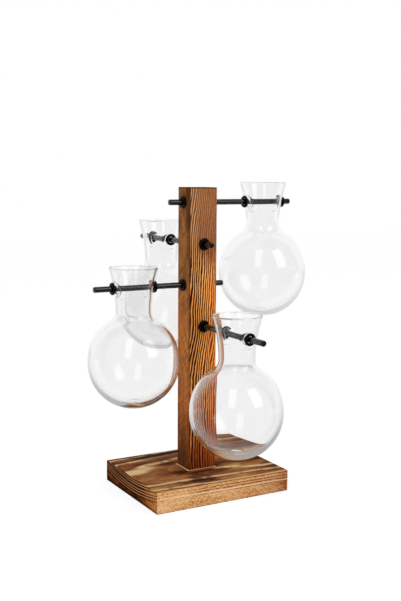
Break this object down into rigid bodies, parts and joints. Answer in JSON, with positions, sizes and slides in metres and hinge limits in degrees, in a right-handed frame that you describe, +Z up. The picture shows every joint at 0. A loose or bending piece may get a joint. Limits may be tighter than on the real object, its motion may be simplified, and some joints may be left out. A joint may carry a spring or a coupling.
{
  "type": "hanging bulb vase stand",
  "caption": "Wooden post on a rectangular base, with clear glass bulb vases hanging by their necks on black rods that pass through the post at stepped heights.",
  "frame": {"origin": "centre of the base's underside", "axes": "+Z up along the post, +X along the base's long side towards the highest vase, +Y across the base towards the second highest vase"},
  "size_m": [0.2087, 0.2199, 0.2736],
  "materials": {
    "base_wood": "torched and brushed softwood, dark brown top with lighter streaks, oiled",
    "post_wood": "torched and brushed softwood, red-brown with raised dark grain, oiled",
    "black_metal": "satin black",
    "black_rubber": "smooth moulded rubber",
    "clear_glass": "clear blown glass with fire-polished rim",
    "screw_steel": "bright zinc"
  },
  "bodies": {
    "stand": {"base": "base_wood", "post": "post_wood", "base_screw_1": "screw_steel", "base_screw_2": "screw_steel", "rod_1": "black_metal", "rod_2": "black_metal", "rod_3": "black_metal", "rod_4": "black_metal", "rod_1_stub_ring": "black_rubber", "rod_2_stub_ring": "black_rubber", "rod_3_stub_ring": "black_rubber", "rod_4_stub_ring": "black_rubber", "rod_1_post_ring": "black_rubber", "rod_2_post_ring": "black_rubber", "rod_3_post_ring": "black_rubber", "rod_4_post_ring": "black_rubber", "vase_1_inner_ring": "black_rubber", "vase_2_inner_ring": "black_rubber", "vase_3_inner_ring": "black_rubber", "vase_4_inner_ring": "black_rubber"},
    "stopper_1": {"vase_1_outer_ring": "black_rubber"},
    "stopper_2": {"vase_2_outer_ring": "black_rubber"},
    "stopper_3": {"vase_3_outer_ring": "black_rubber"},
    "stopper_4": {"vase_4_outer_ring": "black_rubber"},
    "hanging_vase_1": {"vase_1": "clear_glass"},
    "hanging_vase_2": {"vase_2": "clear_glass"},
    "hanging_vase_3": {"vase_3": "clear_glass"},
    "hanging_vase_4": {"vase_4": "clear_glass"}
  },
  "joints": [
    {"name": "stopper_1_slide", "type": "slide", "parent": "stand", "child": "stopper_1", "axis": [1, 0, 0], "range_m": [0, 0.065]},
    {"name": "vase_1_swing", "type": "hinge", "parent": "stopper_1", "child": "hanging_vase_1", "pos_m": [0.06775, 0, 0.256], "axis": [1, 0, 0], "range_deg": [-90, 90]},
    {"name": "stopper_2_slide", "type": "slide", "parent": "stand", "child": "stopper_2", "axis": [0, 1, 0], "range_m": [0, 0.065]},
    {"name": "vase_2_swing", "type": "hinge", "parent": "stopper_2", "child": "hanging_vase_2", "pos_m": [0, 0.06975, 0.22], "axis": [0, 1, 0], "range_deg": [-30, 90]},
    {"name": "stopper_3_slide", "type": "slide", "parent": "stand", "child": "stopper_3", "axis": [-1, 0, 0], "range_m": [0, 0.065]},
    {"name": "vase_3_swing", "type": "hinge", "parent": "stopper_3", "child": "hanging_vase_3", "pos_m": [-0.062, 0, 0.184], "axis": [-1, 0, 0], "range_deg": [-25, 90]},
    {"name": "stopper_4_slide", "type": "slide", "parent": "stand", "child": "stopper_4", "axis": [0, -1, 0], "range_m": [0, 0.065]},
    {"name": "vase_4_swing", "type": "hinge", "parent": "stopper_4", "child": "hanging_vase_4", "pos_m": [0, -0.0685, 0.148], "axis": [0, -1, 0], "range_deg": [-25, 90]}
  ]
}
